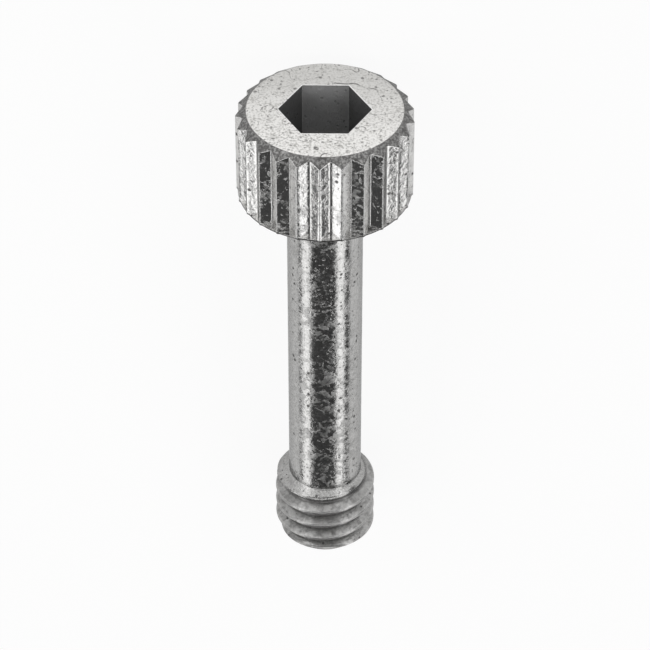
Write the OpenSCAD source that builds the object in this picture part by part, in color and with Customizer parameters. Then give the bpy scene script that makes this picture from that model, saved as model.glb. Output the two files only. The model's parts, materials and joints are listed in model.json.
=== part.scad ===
// Captive panel screw: a straight-knurled cylinder head with a hex socket, a thin shank that the
// panel traps, and a short right-hand thread at the tip. It is one turned piece.
// The screw is drawn standing on its tip and then laid on its side, as it comes to rest on a table:
// on two crests of the knurl and on one crest of the thread, with the head towards +Y.
// All sizes are in millimetres.

/* [Head] */
// Diameter over the crests of the knurl
head_d = 6.65; // [6:0.05:9]
// Height of the head
head_h = 3.65; // [3.4:0.05:6]
// Width of the bevel round the top face, along the radius
bevel_w = 0.43; // [0.1:0.01:0.7]
// Height of the same bevel, along the axis
bevel_h = 0.3; // [0.05:0.01:0.5]

/* [Knurl] */
// Number of straight grooves round the head
groove_count = 25; // [17:1:30]
// Depth of each groove
groove_depth = 0.27; // [0.1:0.01:0.5]
// Width of the land left between two grooves
land_w = 0.04; // [0.02:0.01:0.3]
// Thickness of the thin rim that closes the grooves at the underside of the head
rim_h = 0.07; // [0.03:0.01:0.3]
// How far this rim stays inside the crests of the knurl
rim_inset = 0.04; // [0.03:0.01:0.09]

/* [Socket] */
// Size of the hex key that fits, across the flats
key_size = 3; // [2:0.1:3.6]
// Depth of the hexagon
socket_depth = 2.4; // [1.5:0.1:2.6]
// Depth of the shallow cone below the hexagon
cone_depth = 0.4; // [0.1:0.05:0.6]
// Width of the flat ledge between the hexagon's sides and the cone
ledge_w = 0.15; // [0.05:0.05:0.5]
// Turn of the hexagon against the knurl, in degrees
socket_turn = 2.7; // [0:0.1:60]

/* [Shank] */
// Diameter of the thin shank
shank_d = 2.9; // [2:0.05:3.1]
// Length from the underside of the head to the tip
reach = 17.6; // [8:0.1:40]

/* [Thread] */
// Diameter over the crests of the thread
thread_d = 4; // [3.9:0.05:5]
// Distance from one crest to the next
pitch = 0.7; // [0.5:0.05:0.75]
// Length of the threaded end, with its two cones
thread_len = 3.4; // [2.4:0.1:6]
// Length of the cone between the shank and the first crest
lead_in = 0.37; // [0.1:0.01:0.8]
// Diameter of the flat tip
tip_d = 2.8; // [2:0.05:3.6]
// Length of the cone at the tip
tip_cone = 0.62; // [0.2:0.02:1]
// Height above the tip of the first crest, on the side of the screw that faces up
first_crest = 0.49; // [0:0.01:0.7]

/* [Hidden] */

// Facets of a round shape
$fn = 128;
// How far a cutter runs past the surface that it cuts
past = 0.05;

head_r = head_d / 2;
top_r = head_r - bevel_w;
rim_r = head_r - rim_inset;
shank_r = shank_d / 2;
thread_r = thread_d / 2;
tip_r = tip_d / 2;
length = reach + head_h;

// Metric thread form: 60 degree flanks, a crest an eighth and a root a quarter of the pitch wide
flank_angle = 30;
crest_w = pitch / 8;
root_w = pitch / 4;
thread_depth = (pitch - crest_w - root_w) / 2 / tan(flank_angle);
root_r = thread_r - thread_depth;
mouth_w = root_w + 2 * (thread_depth + past) * tan(flank_angle);

// The thread groove starts below the tip and ends above the lead-in cone
turn_steps = 36;
groove_start = first_crest - 2.5 * pitch;
groove_turns = ceil(thread_len / pitch) + 3;

// How the screw rests: a groove of the knurl points down, so the inner edges of the two lands
// beside it touch the table, and so does the lowest full crest of the thread
land_angle = 180 / groove_count - asin(land_w / 2 / head_r);
head_drop = head_r * cos(land_angle);
rest_turn = ceil((tip_cone + crest_w / 2 - first_crest) / pitch - 0.5) + 0.5;
rest_crest = first_crest + rest_turn * pitch - crest_w / 2;
tilt = atan((head_drop - thread_r) / (reach - rest_crest));
lift = thread_r * cos(tilt) - rest_crest * sin(tilt);
middle = (length * cos(tilt) + (top_r - tip_r) * sin(tilt)) / 2;

// The turned blank: tip cone, thread body, lead-in cone, shank, head and top bevel
module blank() {
  rotate_extrude()
    polygon([
      [0, 0],
      [tip_r, 0],
      [thread_r, tip_cone],
      [thread_r, thread_len - lead_in],
      [shank_r, thread_len],
      [shank_r, reach],
      [head_r, reach],
      [head_r, length - bevel_h],
      [top_r, length],
      [0, length]
    ]);
}

// Straight V grooves along the head down to the thin rim, the first one on the +Y side
module knurl_grooves() {
  step = 360 / groove_count;
  // half the groove's width where its flanks meet the crest circle, and the radius of that line
  half_w = head_r * sin(step / 2) - land_w / 2 * cos(step / 2);
  edge_r = head_r * cos(step / 2) + land_w / 2 * sin(step / 2);
  bottom_r = head_r - groove_depth;
  grow = (head_r + past - bottom_r) / (edge_r - bottom_r);
  difference() {
    for (i = [0 : groove_count - 1])
      rotate([0, 0, 90 + i * step])
        translate([0, 0, reach - past])
          linear_extrude(head_h + 2 * past)
            polygon([
              [bottom_r, 0],
              [head_r + past, half_w * grow],
              [head_r + past, -half_w * grow]
            ]);
    translate([0, 0, reach])
      cylinder(h = rim_h, r = rim_r);
  }
}

// Corners of the groove's section at one step of the helix
function section(i) =
  let (
    angle = 360 * i / turn_steps - 90,
    z = groove_start + pitch * i / turn_steps,
    mouth_r = thread_r + past
  )
  [
    for (corner = [[root_r, -root_w / 2], [mouth_r, -mouth_w / 2], [mouth_r, mouth_w / 2], [root_r, root_w / 2]])
      [corner[0] * cos(angle), corner[0] * sin(angle), z + corner[1]]
  ];

// The right-hand thread groove, swept along its helix
module thread_groove() {
  last = turn_steps * groove_turns;
  points = [for (i = [0 : last]) each section(i)];
  sides = [
    for (i = [0 : last - 1], k = [0 : 3])
      let (
        a = 4 * i + k,
        b = 4 * i + (k + 1) % 4
      )
      each [[a, b + 4, a + 4], [a, b, b + 4]]
  ];
  lower_end = [[0, 2, 1], [0, 3, 2]];
  upper_end = [for (face = lower_end) [4 * last + face[2], 4 * last + face[1], 4 * last + face[0]]];
  polyhedron(points, concat(sides, lower_end, upper_end));
}

// The hex socket in the top of the head, with a shallow cone at its bottom
module hex_socket() {
  translate([0, 0, length - socket_depth])
    rotate([0, 0, socket_turn]) {
      cylinder(h = socket_depth + past, d = key_size / cos(30), $fn = 6);
      translate([0, 0, -cone_depth])
        cylinder(h = cone_depth, r1 = 0, r2 = key_size / 2 - ledge_w);
    }
}

module captive_screw() {
  color([0.72, 0.71, 0.69])
    translate([0, -middle, lift])
      rotate([tilt - 90, 0, 0])
        difference() {
          blank();
          knurl_grooves();
          thread_groove();
          hex_socket();
        }
}

captive_screw();
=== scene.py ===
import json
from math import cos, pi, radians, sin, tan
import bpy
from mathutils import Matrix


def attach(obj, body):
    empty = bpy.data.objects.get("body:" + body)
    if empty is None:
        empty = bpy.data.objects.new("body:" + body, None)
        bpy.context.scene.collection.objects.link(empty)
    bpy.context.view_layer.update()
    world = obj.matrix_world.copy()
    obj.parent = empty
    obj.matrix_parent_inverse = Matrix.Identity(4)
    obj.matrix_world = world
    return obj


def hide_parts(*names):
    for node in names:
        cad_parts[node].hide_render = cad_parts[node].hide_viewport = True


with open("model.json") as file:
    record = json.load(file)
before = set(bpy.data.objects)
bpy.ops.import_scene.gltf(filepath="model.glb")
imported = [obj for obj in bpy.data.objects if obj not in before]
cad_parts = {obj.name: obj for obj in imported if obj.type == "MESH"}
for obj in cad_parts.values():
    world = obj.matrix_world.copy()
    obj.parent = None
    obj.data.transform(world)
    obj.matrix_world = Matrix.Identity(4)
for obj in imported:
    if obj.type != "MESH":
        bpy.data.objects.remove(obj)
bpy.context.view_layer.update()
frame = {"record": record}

# A captive panel screw of bright steel that lies on its side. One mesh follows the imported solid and
# adds what a turned screw has beyond it: rounded edges, a smooth helix and worn metal.
# Lengths are in metres. The screw's own axes are X, across it, and Z, from its tip to its head.

from types import SimpleNamespace

import bpy
from mathutils import Matrix, Vector

MM = 0.001
TURN = 2 * pi

MOUNTS = {mount["name"]: mount for mount in frame["record"]["mounts"]}
TIP = Vector(MOUNTS["tip_face"]["pos_m"])
AXIS = -Vector(MOUNTS["tip_face"]["axis"]).normalized()
SIDE = Vector((1, 0, 0))
UPPER = SIDE.cross(AXIS)

# Head. The crests of its knurl and the floors of the grooves are slightly rounded.
HEAD_RADIUS = 3.325 * MM
HEAD_HEIGHT = 3.65 * MM
TOP_RADIUS = 2.895 * MM
BEVEL_HEIGHT = 0.3 * MM
GROOVES = 25
GROOVE_DEPTH = 0.27 * MM
LAND_WIDTH = 0.04 * MM
RIM_HEIGHT = 0.07 * MM
RIM_INSET = 0.04 * MM
CREST_SOFTNESS = 0.01 * MM
FLOOR_RADIUS = 0.045 * MM

# Hex socket
KEY_SIZE = 3.0 * MM
SOCKET_DEPTH = MOUNTS["hex_socket"]["dims"]["length_mm"] * MM
CONE_DEPTH = 0.4 * MM
CONE_RADIUS = 1.35 * MM
SOCKET_TURN = radians(2.7)

# Shank and thread
SHANK_RADIUS = MOUNTS["captive_neck"]["dims"]["r_mm"] * MM
THREAD_RADIUS = MOUNTS["thread"]["dims"]["r_mm"] * MM
THREAD_LENGTH = MOUNTS["thread"]["dims"]["length_mm"] * MM
REACH = THREAD_LENGTH + MOUNTS["captive_neck"]["dims"]["length_mm"] * MM
LENGTH = REACH + HEAD_HEIGHT
PITCH = 0.7 * MM
LEAD_IN = 0.37 * MM
TIP_RADIUS = 1.4 * MM
TIP_CONE = 0.62 * MM
FIRST_CREST = 0.49 * MM
FLANK_SLOPE = 1 / tan(radians(30))
CREST_WIDTH = PITCH / 8
ROOT_WIDTH = PITCH / 4
THREAD_DEPTH = (PITCH - CREST_WIDTH - ROOT_WIDTH) / 2 * FLANK_SLOPE
ROOT_RADIUS = THREAD_RADIUS - THREAD_DEPTH
THREAD_SOFTNESS = 0.03 * MM

# Columns of the mesh, round the axis: a whole number to each groove and to each side of the key
COLUMNS_PER_GROOVE = 18
COLUMNS = GROOVES * COLUMNS_PER_GROOVE
COLUMNS_PER_SIDE = COLUMNS // 6
FIRST_KEY_COLUMN = round(COLUMNS * (SOCKET_TURN + pi / 6) / TURN)

# Rows of the mesh, along the axis: so many to each pitch of the thread and to each rounded corner
ROWS_PER_PITCH = 16
ROWS_PER_CORNER = 5
TIP_CORNERS = 2
BODY_CORNERS = 10

# How far a rounded corner reaches, and how near to each other points are joined
CORNER = 0.02 * MM
WELD = 0.0001 * MM


class Value:
    """A socket of a node tree. Sums on it are written as on a number and add their maths nodes."""

    def __init__(self, tree, socket):
        self.tree = tree
        self.socket = socket

    def _sum(self, operation, *values):
        vectors = [v for v in values if isinstance(v, (tuple, Vector)) or getattr(v, "is_vector", False)]
        if vectors and operation == "MULTIPLY" and len(vectors) == 1:
            factor = next(v for v in values if v is not vectors[0])
            inputs = {0: vectors[0], "Scale": factor}
            return self.tree.add("ShaderNodeVectorMath", {"operation": "SCALE"}, inputs)
        kind = "ShaderNodeVectorMath" if vectors else "ShaderNodeMath"
        return self.tree.add(kind, {"operation": operation}, dict(enumerate(values)))

    @property
    def is_vector(self):
        return self.socket.type in ("VECTOR", "RGBA")

    def __add__(self, other):
        return self._sum("ADD", self, other)

    def __radd__(self, other):
        return self._sum("ADD", other, self)

    def __sub__(self, other):
        return self._sum("SUBTRACT", self, other)

    def __rsub__(self, other):
        return self._sum("SUBTRACT", other, self)

    def __mul__(self, other):
        return self._sum("MULTIPLY", self, other)

    def __rmul__(self, other):
        return self._sum("MULTIPLY", other, self)

    def __truediv__(self, other):
        return self._sum("DIVIDE", self, other)

    def __rtruediv__(self, other):
        return self._sum("DIVIDE", other, self)

    def __pow__(self, other):
        return self._sum("POWER", self, other)

    def __abs__(self):
        return self._sum("ABSOLUTE", self)

    def floor(self):
        return self._sum("FLOOR", self)

    def sign(self):
        return self._sum("SIGN", self)

    def sin(self):
        return self._sum("SINE", self)

    def cos(self):
        return self._sum("COSINE", self)

    def least(self, other, soft=0):
        return self._sum("SMOOTH_MIN", self, other, soft)

    def most(self, other, soft=0):
        return self._sum("SMOOTH_MAX", self, other, soft)

    def toward(self, other):
        """The unit vector from this point to another."""
        return self._sum("NORMALIZE", other - self)

    def step(self, low, high):
        """0 below low, 1 above high and a smooth rise between them; it falls if low is the higher."""
        settings = {"interpolation_type": "SMOOTHSTEP"}
        inputs = {"Value": self, "From Min": low, "From Max": high}
        return self.tree.add("ShaderNodeMapRange", settings, inputs)


class Tree:
    """A node tree under construction."""

    def __init__(self, nodes):
        self.nodes = nodes.nodes
        self.links = nodes.links
        self.nodes.clear()

    def add(self, kind, settings, inputs, output=0):
        """Adds a node: its settings first, then the values or links of its sockets.

        The setting "choices" is how many choices an index switch has.
        """
        node = self.nodes.new(kind)
        for name, setting in settings.items():
            if name == "choices":
                for _ in range(setting - len(node.index_switch_items)):
                    node.index_switch_items.new()
            else:
                setattr(node, name, setting)
        for name, value in inputs.items():
            if isinstance(value, Value):
                self.links.new(value.socket, node.inputs[name])
            else:
                node.inputs[name].default_value = value
        return Value(self, node.outputs[output]) if node.outputs else node

    def vector(self, x, y, z):
        return self.add("ShaderNodeCombineXYZ", {}, {"X": x, "Y": y, "Z": z})

    def parts(self, vector):
        node = self.add("ShaderNodeSeparateXYZ", {}, {"Vector": vector}).socket.node
        return [Value(self, node.outputs[axis]) for axis in "XYZ"]

    def mix(self, share, low, high):
        """A colour that goes from low to high with the share."""
        return self.add("ShaderNodeMix", {"data_type": "RGBA"}, {0: share, 6: low, 7: high}, 2)

    def noise(self, place, size, detail=2, roughness=0.5, warp=0):
        """Soft noise from 0 to 1 in lumps of about this size."""
        inputs = {"Vector": place, "Scale": 1 / size}
        inputs.update({"Detail": detail, "Roughness": roughness, "Distortion": warp})
        return self.add("ShaderNodeTexNoise", {}, inputs)

    def bend(self, place, size, reach):
        """The place, moved about by up to this reach in waves of this size."""
        inputs = {"Vector": place, "Scale": 1 / size, "Detail": 2}
        return place + (self.add("ShaderNodeTexNoise", {}, inputs, 1) - (0.5, 0.5, 0.5)) * (reach * 2)

    def spots(self, place, size, radius, share):
        """Round spots of up to this radius, in a share of the cells of this size."""
        node = self.add("ShaderNodeTexVoronoi", {}, {"Vector": place, "Scale": 1 / size}).socket.node
        chance = self.parts(Value(self, node.outputs["Color"]))[0]
        reach = (radius / size) * (share - chance).step(0, share * 0.7)
        return 1 - (Value(self, node.outputs["Distance"]) / reach.most(0.001)).step(0.45, 1)

    def pick(self, index, choices, data_type="FLOAT"):
        """The choice that an index counts to, from 0."""
        settings = {"data_type": data_type, "choices": len(choices)}
        inputs = {0: index}
        inputs.update({place + 1: choice for place, choice in enumerate(choices)})
        return self.add("GeometryNodeIndexSwitch", settings, inputs)


# --- The mesh ---

def new_maker(name, sizes):
    """A tree of Geometry Nodes with a named input for each size, and those inputs as values."""
    group = bpy.data.node_groups.new(name, "GeometryNodeTree")
    group.interface.new_socket("Geometry", in_out="OUTPUT", socket_type="NodeSocketGeometry")
    for title, size in sizes.items():
        socket = group.interface.new_socket(title, in_out="INPUT", socket_type="NodeSocketFloat")
        socket.default_value = size
    tree = Tree(group)
    entry = tree.add("NodeGroupInput", {}, {}).socket.node
    return group, tree, {title: Value(tree, entry.outputs[title]) for title in sizes}


def plain_mesh(name, group, sizes):
    """An object whose mesh is what the tree makes from these sizes, with no modifier left."""
    piece = bpy.data.objects.new(name, bpy.data.meshes.new(name))
    bpy.context.scene.collection.objects.link(piece)
    modifier = piece.modifiers.new(name, "NODES")
    modifier.node_group = group
    for item in group.interface.items_tree:
        if item.in_out == "INPUT":
            modifier[item.identifier] = sizes[item.name]
    mesh = bpy.data.meshes.new_from_object(piece.evaluated_get(bpy.context.evaluated_depsgraph_get()))
    piece.modifiers.clear()
    piece.data = mesh
    return piece


def zone(tree, rows, place):
    """A sheet of columns and rows, on which place(column, row) gives the point of each."""
    sheet = tree.add("GeometryNodeMeshGrid", {}, {"Vertices X": COLUMNS + 1, "Vertices Y": rows})
    index = tree.add("GeometryNodeInputIndex", {}, {})
    column = ((index + 0.5) / rows).floor()
    row = index - column * rows
    return tree.add("GeometryNodeSetPosition", {}, {"Geometry": sheet, "Position": place(column, row)})


def column_turn(column):
    """The angle of a column round the axis. The first one is on the screw's upper side."""
    return column * (TURN / COLUMNS) - TURN / 4


def ring(tree, turn, radius, height):
    """The point at an angle round the axis, a distance from it and a height above the tip."""
    return tree.vector(turn.cos() * radius, turn.sin() * radius, height)


def groove(distance, edge, slope, depth, soft):
    """Depth of a V groove at a distance from its middle line, with soft corners at edge and floor."""
    return ((edge - distance) * slope).most(0, soft).least(depth, soft)


def rounded_rows(corners, reaches):
    """Rows of points along a line through the corners: the two ends and five round each corner."""
    rows = [corners[0]]
    for before, corner, after, reach in zip(corners, corners[1:], corners[2:], reaches):
        back = corner.toward(before)
        ahead = corner.toward(after)
        start = corner + back * reach
        end = corner + ahead * reach
        middle = start * 0.25 + corner * 0.5 + end * 0.25
        rows += [corner + back * (reach * 2), start, middle, end, corner + ahead * (reach * 2)]
    return rows + [corners[-1]]


def thread_zone(tree, size):
    """The threaded end: rows follow the helix, and stop at the rings where the other zones begin."""
    # half the width of a pitch, of the groove's mouth and of its root
    half = size["Pitch"] / 2
    edge = half - size["Pitch"] / 16
    root = size["Pitch"] / 8
    soft = size["Thread Softness"]
    gap = (edge - root) / 2
    # distances from the groove's middle line, the same on both of its sides
    spots = [0, root - soft, root, root + soft, root + gap, edge - soft, edge, edge + soft, half]
    low = size["Corner"] * 2
    high = size["Thread Length"] - low
    turns = int((THREAD_LENGTH + PITCH) / PITCH) + 2
    start = size["First Crest"] - size["Pitch"] * 2

    def place(column, row):
        count = (row / ROWS_PER_PITCH).floor()
        across = row - count * ROWS_PER_PITCH - ROWS_PER_PITCH / 2
        distance = tree.pick(abs(across), spots)
        middle = start + size["Pitch"] * (count + 0.5 + column / COLUMNS)
        height = (middle + distance * across.sign()).most(low).least(high)
        cut = groove(distance, edge, FLANK_SLOPE, size["Thread Depth"], soft)
        widening = (size["Thread Radius"] - size["Tip Radius"]) / size["Tip Cone"]
        tip_cone = size["Tip Radius"] + height * widening
        rise = (size["Thread Length"] - height) / size["Lead In"]
        lead_in = size["Shank Radius"] + rise * (size["Thread Radius"] - size["Shank Radius"])
        body = (size["Thread Radius"] - cut).least(tip_cone, soft).least(lead_in, soft)
        return ring(tree, column_turn(column), body, height)

    return zone(tree, turns * ROWS_PER_PITCH + 1, place)


def tip_zone(tree, size):
    """The flat tip, from its middle to a ring just inside the tip cone."""
    lap = size["Corner"] * 2

    def place(column, row):
        turn = column_turn(column)
        slope = (size["Thread Radius"] - size["Tip Radius"]) / size["Tip Cone"]
        corners = [
            tree.vector(0, 0, 0),
            ring(tree, turn, size["Tip Radius"] * 0.5, 0),
            ring(tree, turn, size["Tip Radius"], 0),
            ring(tree, turn, size["Tip Radius"] + lap * slope, lap),
        ]
        reach = size["Corner"] * 0.7
        rows = rounded_rows(corners, [reach, reach])
        return tree.pick(row, rows, "VECTOR")

    return zone(tree, 2 + TIP_CORNERS * ROWS_PER_CORNER, place)


def head_turn(tree, column, size):
    """Angle of a column that keeps to the knurl, and the depth of the knurl there."""
    step = TURN / GROOVES
    half = COLUMNS_PER_GROOVE / 2
    radius = size["Head Radius"]
    bottom = radius - size["Groove Depth"]
    edge_turn = step / 2 - size["Land Width"] / 2 / radius
    # the slope of the flat flank at the groove's middle line, and where it meets the crests
    slope = (edge_turn.cos() - bottom / radius) / edge_turn.sin()
    slope_at_edge = (slope - edge_turn) / (1 + slope * edge_turn)
    edge = radius * edge_turn
    floor = size["Floor Radius"]
    crest = size["Crest Softness"] / slope_at_edge
    rim = edge - size["Rim Inset"] / slope_at_edge
    # distances from the groove's middle line, out to the middle of the land
    spots = [0, floor * 0.5, floor, floor * 1.6, floor * 2.5, rim, edge - crest, edge]
    spots += [edge + crest, edge + size["Land Width"] / 2]
    count = (column / COLUMNS_PER_GROOVE).floor()
    across = column - count * COLUMNS_PER_GROOVE - half
    distance = tree.pick(abs(across), spots)
    rounded = (distance * distance + floor * floor) ** 0.5 / radius
    flank = bottom / (rounded.cos() - rounded.sin() * slope)
    cut = (radius - flank).most(0, size["Crest Softness"])
    turn = (count + 0.5) * step + distance * across.sign() / radius - TURN / 4
    return turn, cut


def key_ring(tree, column, size, height):
    """The point of a column on the socket's hexagon."""
    count = ((column - FIRST_KEY_COLUMN) / COLUMNS_PER_SIDE).floor()
    along = (column - FIRST_KEY_COLUMN) / COLUMNS_PER_SIDE - count - 0.5
    facing = (count - 0.5) * radians(60) + SOCKET_TURN
    flat = size["Key Size"] / 2
    across = along * size["Key Size"] * tan(radians(30))
    x = facing.cos() * flat - facing.sin() * across
    y = facing.sin() * flat + facing.cos() * across
    return tree.vector(x, y, height)


def body_zone(tree, size):
    """Everything from the lead-in cone up: shank, underside, knurl, bevel, top face and socket."""
    lap = size["Corner"] * 2
    top = size["Length"]

    def place(column, row):
        turn = column_turn(column)
        knurl_turn, cut = head_turn(tree, column, size)
        outer = size["Head Radius"] - cut
        rim = outer.most(size["Head Radius"] - size["Rim Inset"])
        shelf = rim - outer
        bevel = (outer - size["Top Radius"]) / (size["Head Radius"] - size["Top Radius"])
        key_turn = (column - FIRST_KEY_COLUMN) * (TURN / COLUMNS) + SOCKET_TURN - radians(60)
        cone = (size["Thread Radius"] - size["Shank Radius"]) / size["Lead In"]
        floor = top - size["Socket Depth"]
        corners = [
            ring(tree, turn, size["Shank Radius"] + lap * cone, size["Thread Length"] - lap),
            ring(tree, turn, size["Shank Radius"], size["Thread Length"]),
            ring(tree, turn, size["Shank Radius"], size["Reach"]),
            ring(tree, knurl_turn, rim, size["Reach"]),
            ring(tree, knurl_turn, rim, size["Reach"] + size["Rim Height"]),
            ring(tree, knurl_turn, outer, size["Reach"] + size["Rim Height"]),
            ring(tree, knurl_turn, outer, top - bevel * size["Bevel Height"]),
            ring(tree, knurl_turn, size["Top Radius"], top),
            key_ring(tree, column, size, top),
            key_ring(tree, column, size, floor),
            ring(tree, key_turn, size["Cone Radius"], floor),
            tree.vector(0, 0, floor - size["Cone Depth"]),
        ]
        reach = size["Corner"]
        small = (shelf / 5).least(reach / 2)
        # from the lead-in cone up to the rim, then to the top face, then down the socket
        reaches = [reach, reach * 2, reach / 2, small, small]
        reaches += [reach * 1.6, reach * 0.8]
        reaches += [reach, reach, reach * 0.5]
        rows = rounded_rows(corners, reaches)
        return tree.pick(row, rows, "VECTOR")

    return zone(tree, 2 + BODY_CORNERS * ROWS_PER_CORNER, place)


def make_screw(finish):
    """The whole screw as one closed mesh, laid in its place."""
    sizes = {
        "Head Radius": HEAD_RADIUS,
        "Top Radius": TOP_RADIUS,
        "Bevel Height": BEVEL_HEIGHT,
        "Groove Depth": GROOVE_DEPTH,
        "Land Width": LAND_WIDTH,
        "Rim Height": RIM_HEIGHT,
        "Rim Inset": RIM_INSET,
        "Key Size": KEY_SIZE,
        "Socket Depth": SOCKET_DEPTH,
        "Cone Depth": CONE_DEPTH,
        "Cone Radius": CONE_RADIUS,
        "Shank Radius": SHANK_RADIUS,
        "Reach": REACH,
        "Length": LENGTH,
        "Thread Radius": THREAD_RADIUS,
        "Thread Length": THREAD_LENGTH,
        "Thread Depth": THREAD_DEPTH,
        "Pitch": PITCH,
        "First Crest": FIRST_CREST,
        "Lead In": LEAD_IN,
        "Tip Radius": TIP_RADIUS,
        "Tip Cone": TIP_CONE,
        "Corner": CORNER,
        "Crest Softness": CREST_SOFTNESS,
        "Floor Radius": FLOOR_RADIUS,
        "Thread Softness": THREAD_SOFTNESS,
        "Weld": WELD,
    }
    group, tree, size = new_maker("turned_screw", sizes)
    zones = [tip_zone(tree, size), thread_zone(tree, size), body_zone(tree, size)]
    joined = tree.add("GeometryNodeJoinGeometry", {}, {})
    for part in reversed(zones):
        tree.links.new(part.socket, joined.socket.node.inputs[0])
    welded = tree.add("GeometryNodeMergeByDistance", {}, {"Geometry": joined, "Distance": size["Weld"]})
    smooth = tree.add("GeometryNodeSetShadeSmooth", {}, {"Geometry": welded})
    real = tree.add("GeometryNodeRealizeInstances", {}, {"Geometry": smooth})
    dressed = tree.add("GeometryNodeSetMaterial", {}, {"Geometry": real, "Material": finish})
    tree.add("NodeGroupOutput", {}, {"Geometry": dressed})
    piece = plain_mesh("turned_screw", group, sizes)
    lay = Matrix((SIDE, AXIS.cross(SIDE), AXIS)).transposed().to_4x4()
    piece.data.transform(Matrix.Translation(TIP) @ lay)
    return piece


# --- The finish ---

# Sizes of the wear
WAVE_SIZE = 0.9 * MM
CLOUD_SIZE = 0.3 * MM
GRAIN_SIZE = 0.09 * MM
BEND_SIZE = 0.12 * MM
BEND_REACH = 0.05 * MM
PIT_SPACING = 0.3 * MM
PIT_RADIUS = 0.085 * MM
SPECK_SPACING = 0.16 * MM
SPECK_RADIUS = 0.055 * MM
SCRATCH_SIZE = 1.1 * MM

# Colours
DARKER_STEEL = (0.4, 0.397, 0.39, 1)
LIGHTER_STEEL = (0.56, 0.557, 0.55, 1)
KNURL_STEEL = (0.9, 0.895, 0.885, 1)
DUSTY_FACE = (0.45, 0.44, 0.42, 1)
CLEAN_FACE = (0.92, 0.91, 0.89, 1)
# painted shade: the top face's colour toward the screw's lower side
SHADED_FACE = (0.5, 0.495, 0.48, 1)
KEY_EDGE = (0.95, 0.95, 0.94, 1)
# painted shade: the socket's colour is dark; painted light: its lowest wall is lighter as if lit
SHADED_SOCKET = (0.16, 0.16, 0.16, 1)
LIT_WALL_COLOUR = (0.55, 0.55, 0.55, 1)
# grime, and also painted shade on the bevel and the thread
GRIME_AND_SHADE = (0.06, 0.058, 0.056, 1)
EDGE_TINT = (0.55, 0.55, 0.55, 1)


def screw_place(tree):
    """A point in the screw's own axes, and its height above the tip."""
    spin = Matrix((SIDE, AXIS.cross(SIDE), AXIS))
    place = tree.add("ShaderNodeTexCoord", {}, {}, "Object")
    inputs = {"Vector": place, "Location": spin @ -TIP, "Rotation": spin.to_euler()}
    own = tree.add("ShaderNodeMapping", {}, inputs)
    return own, tree.parts(own)


def key_reach(x, y):
    """How far out a point is, measured straight across the sides of the key."""
    angles = [SOCKET_TURN + radians(60) * (side + 0.5) for side in range(3)]
    reaches = [abs(x * cos(angle) + y * sin(angle)) for angle in angles]
    return reaches[0].most(reaches[1]).most(reaches[2])


def near(value, low, high):
    """1 where a value is nearer to 0 than low, and 0 where it is further from it than high."""
    return abs(value).step(high, low)


def surfaces(x, y, height):
    """Masks of the screw's surfaces, each 1 on its own and 0 elsewhere, with a fine fade between."""
    radius = (x * x + y * y) ** 0.5
    above = height - LENGTH
    on = SimpleNamespace()

    # head: top face, bevel, socket, and the knurl with the underside
    on.top = above.step(-0.03 * MM, -0.01 * MM)
    slope = (HEAD_RADIUS - TOP_RADIUS) / BEVEL_HEIGHT
    on.bevel = near(radius - TOP_RADIUS + above * slope, 0.015 * MM, 0.03 * MM) * (1 - on.top)
    key = key_reach(x, y) - KEY_SIZE / 2
    inside = key.step(0.02 * MM, 0.01 * MM) * height.step(REACH, REACH + 0.1 * MM)
    on.key_edge = near(key, 0.02 * MM, 0.045 * MM) * on.top
    on.socket = inside * above.step(-0.01 * MM, -0.06 * MM)
    # the socket's lowest wall, which the finish paints lighter as painted light
    down = y * cos(SOCKET_TURN) - x * sin(SOCKET_TURN)
    on.lower_wall = (down - KEY_SIZE / 2).step(-0.03 * MM, -0.01 * MM)
    on.head = height.step(REACH - 0.01 * MM, REACH) * (1 - inside) * (1 - on.top) * (1 - on.bevel)
    floor = HEAD_RADIUS - GROOVE_DEPTH
    on.groove_floor = radius.step(floor + 0.045 * MM, floor + 0.02 * MM) * on.head
    on.rim = height.step(REACH + RIM_HEIGHT, REACH + RIM_HEIGHT - 0.01 * MM) * on.head

    # shank and threaded end
    below_head = height.step(REACH, REACH - 0.01 * MM)
    on.shank = height.step(THREAD_LENGTH, THREAD_LENGTH + 0.01 * MM) * below_head
    last_crest = THREAD_LENGTH - LEAD_IN
    on.thread = height.step(last_crest + 0.06 * MM, last_crest - 0.04 * MM)
    on.lead_in = height.step(THREAD_LENGTH + 0.03 * MM, THREAD_LENGTH) * (1 - on.thread)
    on.crest = radius.step(THREAD_RADIUS - 0.07 * MM, THREAD_RADIUS - 0.03 * MM) * on.thread
    root = radius.step(ROOT_RADIUS + 0.18 * MM, ROOT_RADIUS + 0.03 * MM)
    on.root = root * on.thread * height.step(TIP_CONE * 0.4, TIP_CONE * 0.8)
    on.tip = height.step(0.02 * MM, 0.01 * MM)
    outer = radius.step(TIP_RADIUS - 0.1 * MM, TIP_RADIUS - 0.03 * MM)
    on.tip_edge = height.step(0.12 * MM, 0.02 * MM) * outer
    return on


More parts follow.
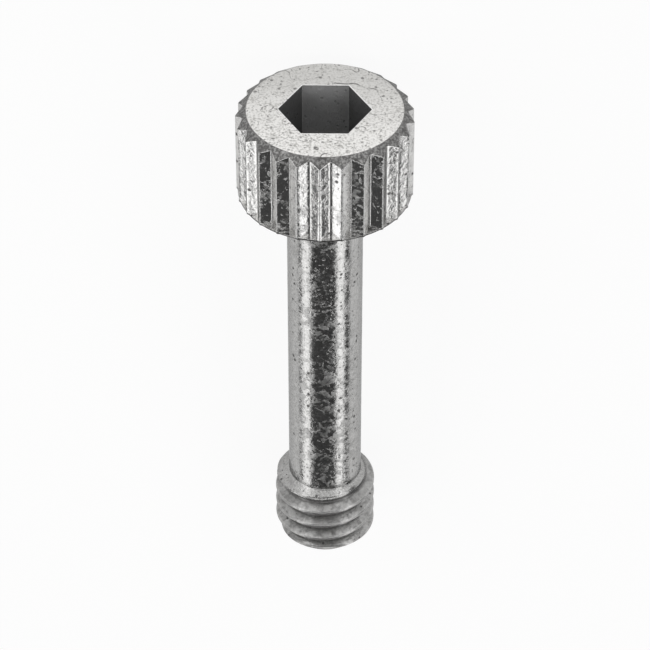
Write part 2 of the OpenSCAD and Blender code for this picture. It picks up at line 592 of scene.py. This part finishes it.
def wear_of(tree, place):
    """The wear at a place: waves, clouds of fine dents, grain, pits, specks and scratches."""
    bent = tree.bend(place, BEND_SIZE, BEND_REACH)
    thin = tree.noise(place, SCRATCH_SIZE, 0, 0.4, 0.6)
    wear = SimpleNamespace()
    wear.broad = tree.noise(place, WAVE_SIZE, 3)
    wear.cloud = tree.noise(place, CLOUD_SIZE, 4, 0.6, 0.8)
    wear.grain = tree.noise(place, GRAIN_SIZE, 3, 0.6)
    wear.pits = tree.spots(bent, PIT_SPACING, PIT_RADIUS, 0.6)
    wear.specks = tree.spots(bent, SPECK_SPACING, SPECK_RADIUS, 0.55)
    wear.dull = wear.cloud.step(0.46, 0.62) * wear.broad.step(0.36, 0.58)
    wear.haze = (wear.cloud * 0.5 + wear.grain * 0.5).step(0.4, 0.6)
    wear.scratches = near(thin - 0.5, 0.0015, 0.004) * wear.cloud.step(0.5, 0.58)
    wear.face_scratches = near(thin - 0.48, 0.004, 0.013) * wear.cloud.step(0.42, 0.55)
    return wear


def grime_and_shade_share(on, wear):
    """How far grime and painted shade cover a place: painted shade on the bevel and on the thread's
    roots and flanks, darker along the groove floors and the rim, grime on the lead-in and tip, in pits
    and specks and in the top face's scratches. Where several kinds meet, the thickest one counts.
    """
    cloud = wear.cloud
    grain = wear.grain
    # darker in clouds along the knurl's groove floors, and along the rim under the knurl
    share = on.groove_floor * cloud * 0.7
    share = share.most(on.rim * 0.9)
    # painted shade: the bevel painted darker, with a random mottle of grain
    share = share.most(on.bevel * (0.33 + grain.step(0.36, 0.58) * 0.55))
    # painted shade in the thread's roots, with a cloudy mottle
    share = share.most(on.root * (0.5 + cloud * 0.5))
    # painted shade on the thread's flanks with a cloudy mottle, less on the crests
    flanks = 0.12 + cloud.step(0.35, 0.65) * 0.32 + grain * 0.2
    share = share.most(on.thread * flanks * (1 - on.crest * 0.7))
    share = share.most(on.lead_in * (0.1 + cloud * 0.25))
    share = share.most(on.tip * (0.25 + grain * 0.25))
    share = share.most(on.tip_edge * (0.3 + cloud.step(0.4, 0.6) * 0.6))
    share = share.most(wear.pits * (0.85 - on.top * 0.3))
    share = share.most(wear.specks * (0.35 + on.top * 0.25))
    share = share.most(wear.face_scratches * on.top * 0.8)
    return share.least(1) * (1 - on.socket * 0.5)


def steel_colour(tree, on, wear, y, grime_and_shade):
    """Grey steel: brighter on the knurl, pale on the top face with painted shade toward its lower side,
    painted dark in the socket as shade with its lowest wall painted lighter as if lit, and dark under
    grime and painted shade.
    """
    steel = tree.mix(wear.grain.step(0.3, 0.7), DARKER_STEEL, LIGHTER_STEEL)
    steel = tree.mix(on.head * 0.4, steel, KNURL_STEEL)
    dust = (wear.grain * 0.65 + wear.cloud * 0.35).step(0.34, 0.56)
    face = tree.mix(dust, DUSTY_FACE, CLEAN_FACE)
    # painted shade: the top face darker toward the screw's lower side, with a wavy edge
    face_shade = (y + wear.broad * MM).step(-1.5 * MM, 3 * MM)
    face = tree.mix(face_shade * 0.6, face, SHADED_FACE)
    face = tree.mix(on.key_edge, face, KEY_EDGE)
    steel = tree.mix(on.top, steel, face)
    # painted shade in the socket, with painted light on its lowest wall
    steel = tree.mix(on.socket, steel, tree.mix(on.lower_wall, SHADED_SOCKET, LIT_WALL_COLOUR))
    return tree.mix(grime_and_shade, steel, GRIME_AND_SHADE)


def steel_roughness(on, wear):
    """Smooth steel, rougher where it is worn, where a tool has turned it and in the shank's haze."""
    worn = wear.dull * 0.2 + wear.scratches * 0.2 + wear.pits * 0.3
    turned = on.top * 0.2 + on.thread * 0.16 + on.bevel * 0.15 + on.socket * 0.35 + on.lead_in * 0.1
    hazy = on.shank * wear.haze * 0.09
    return (0.15 + worn + turned + hazy).least(0.8)


def relief(on, wear):
    """Height of the fine relief, in millimetres."""
    waves = wear.broad * 0.012
    clouds = wear.cloud * (0.006 + on.head * 0.003 + on.shank * 0.001)
    grains = wear.grain * (0.004 + wear.dull * 0.008 + on.top * 0.006)
    dents = wear.pits * 0.01 + wear.specks * 0.006 + wear.scratches * 0.003
    return waves + clouds + grains - dents


def bright_steel():
    """Bright turned steel with pits, dents, cloudy wear, scratches and grime, darker along its groove
    floors and rim, with painted shade on the bevel, thread, top face and socket and painted light on one
    socket wall.
    """
    material = bpy.data.materials.new("bright_steel")
    material.use_nodes = True
    tree = Tree(material.node_tree)
    place, (x, y, height) = screw_place(tree)
    on = surfaces(x, y, height)
    wear = wear_of(tree, place)
    grime_and_shade = grime_and_shade_share(on, wear)
    inputs = {
        "Base Color": steel_colour(tree, on, wear, y, grime_and_shade),
        "Metallic": 1 - grime_and_shade * 0.3 - on.socket * 0.5,
        "Roughness": steel_roughness(on, wear),
        "Specular Tint": EDGE_TINT,
        "Normal": tree.add("ShaderNodeBump", {}, {"Distance": MM, "Height": relief(on, wear)}),
    }
    shader = tree.add("ShaderNodeBsdfPrincipled", {}, inputs)
    tree.add("ShaderNodeOutputMaterial", {}, {"Surface": shader})
    return material


# --- The studio ---

# The camera: its turn and lift as seen from the screw, its distance from the point on the axis that
# it aims at, that point's height above the tip, and its focal length as a share of the sensor's width
VIEW_TURN = radians(3.4)
VIEW_LIFT = radians(40.03)
VIEW_DISTANCE = 118.2 * MM
AIM_HEIGHT = 10.85 * MM
FOCAL_SHARE = 4.6546
SENSOR = 36.0

LAMP_DISTANCE = 0.5
FLOOR_REACH = 1.0
GLOW_SHARE = 0.9
PAPER = (0.9, 0.9, 0.9, 1)
ROOM = (0.06, 0.06, 0.06, 1)
WHITE = (1, 1, 1, 1)
BACKGROUND_RAYS = ("Is Camera Ray", "Is Glossy Ray", "Is Transmission Ray")


def direction(turn, lift):
    """Unit vector at an angle round the screw's axis, from its upper side, and lifted to its head."""
    return cos(lift) * (cos(turn) * UPPER + sin(turn) * SIDE) + sin(lift) * AXIS


def facing(back, up):
    """The turn that lays an object's own Z along back, with its own Y near up."""
    across = up.cross(back).normalized()
    return Matrix((across, back.cross(across), back)).transposed().to_4x4()


def place_camera():
    """The camera, with the screw's axis upright in its picture."""
    camera = bpy.data.objects.new("camera", bpy.data.cameras.new("camera"))
    camera.data.sensor_width = SENSOR
    camera.data.lens = SENSOR * FOCAL_SHARE
    camera.data.clip_start = 0.01
    camera.data.clip_end = 10
    back = direction(VIEW_TURN, VIEW_LIFT)
    aim = TIP + AXIS * AIM_HEIGHT
    camera.matrix_world = Matrix.Translation(aim + back * VIEW_DISTANCE) @ facing(back, AXIS)
    bpy.context.scene.collection.objects.link(camera)
    bpy.context.scene.camera = camera


def soft_box(name, turn, lift, width, height, strength):
    """A soft box at a turn and lift as seen from the screw, so many degrees wide and high there."""
    data = bpy.data.lights.new(name, "AREA")
    data.shape = "RECTANGLE"
    data.size = 2 * LAMP_DISTANCE * tan(radians(width) / 2)
    data.size_y = 2 * LAMP_DISTANCE * tan(radians(height) / 2)
    # the power that gives its face this brightness, whatever its size
    data.energy = strength * pi * data.size * data.size_y
    lamp = bpy.data.objects.new(name, data)
    back = direction(radians(turn), radians(lift))
    middle = TIP + AXIS * (LENGTH / 2)
    lamp.matrix_world = Matrix.Translation(middle + back * LAMP_DISTANCE) @ facing(back, AXIS)
    lamp.visible_camera = False
    bpy.context.scene.collection.objects.link(lamp)


def pale_floor():
    """A sheet of pale paper that shows almost white, and takes the screw's shadow."""
    material = bpy.data.materials.new("pale_paper")
    material.use_nodes = True
    tree = Tree(material.node_tree)
    inputs = {"Base Color": PAPER, "Roughness": 0.9, "Specular IOR Level": 0.1}
    paper = tree.add("ShaderNodeBsdfPrincipled", {}, inputs)
    glow = tree.add("ShaderNodeEmission", {}, {"Color": WHITE, "Strength": 1.0})
    seen = [tree.add("ShaderNodeLightPath", {}, {}, ray) for ray in BACKGROUND_RAYS]
    share = (seen[0] + seen[1] + seen[2]).least(1) * GLOW_SHARE
    mixed = tree.add("ShaderNodeMixShader", {}, {0: share, 1: paper, 2: glow})
    tree.add("ShaderNodeOutputMaterial", {}, {"Surface": mixed})
    floor = bpy.data.objects.new("floor", bpy.data.meshes.new("floor"))
    far = FLOOR_REACH
    corners = [(-far, -far, 0), (far, -far, 0), (far, far, 0), (-far, far, 0)]
    floor.data.from_pydata(corners, [], [(0, 1, 2, 3)])
    floor.data.materials.append(material)
    bpy.context.scene.collection.objects.link(floor)


def light_studio():
    """A tall box on each side of the screw, one above it and one beyond its head."""
    soft_box("left_strip", -58, 0, 29, 120, 1.65)
    soft_box("right_strip", 53, 0, 26, 120, 1.65)
    soft_box("overhead", 0, 0, 74, 38, 1.45)
    soft_box("far_panel", 0, 78, 90, 34, 1.1)


def dim_room():
    """A dim room with a pale horizon. The camera itself sees white instead."""
    world = bpy.data.worlds.new("room")
    world.use_nodes = True
    tree = Tree(world.node_tree)
    lift = tree.parts(tree.add("ShaderNodeTexCoord", {}, {}, "Generated"))[2]
    camera, glossy, clear = [tree.add("ShaderNodeLightPath", {}, {}, ray) for ray in BACKGROUND_RAYS]
    pale = camera.most((glossy + clear).least(1) * lift.step(0.03, 0.01))
    room = tree.mix(pale, ROOM, WHITE)
    backdrop = tree.add("ShaderNodeBackground", {}, {"Color": room, "Strength": 1.0})
    tree.add("ShaderNodeOutputWorld", {}, {"Surface": backdrop})
    bpy.context.scene.world = world


screw = make_screw(bright_steel())
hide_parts("captive_screw")
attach(screw, "root")
place_camera()
pale_floor()
light_studio()
dim_room()
bpy.context.scene.view_settings.view_transform = "Standard"
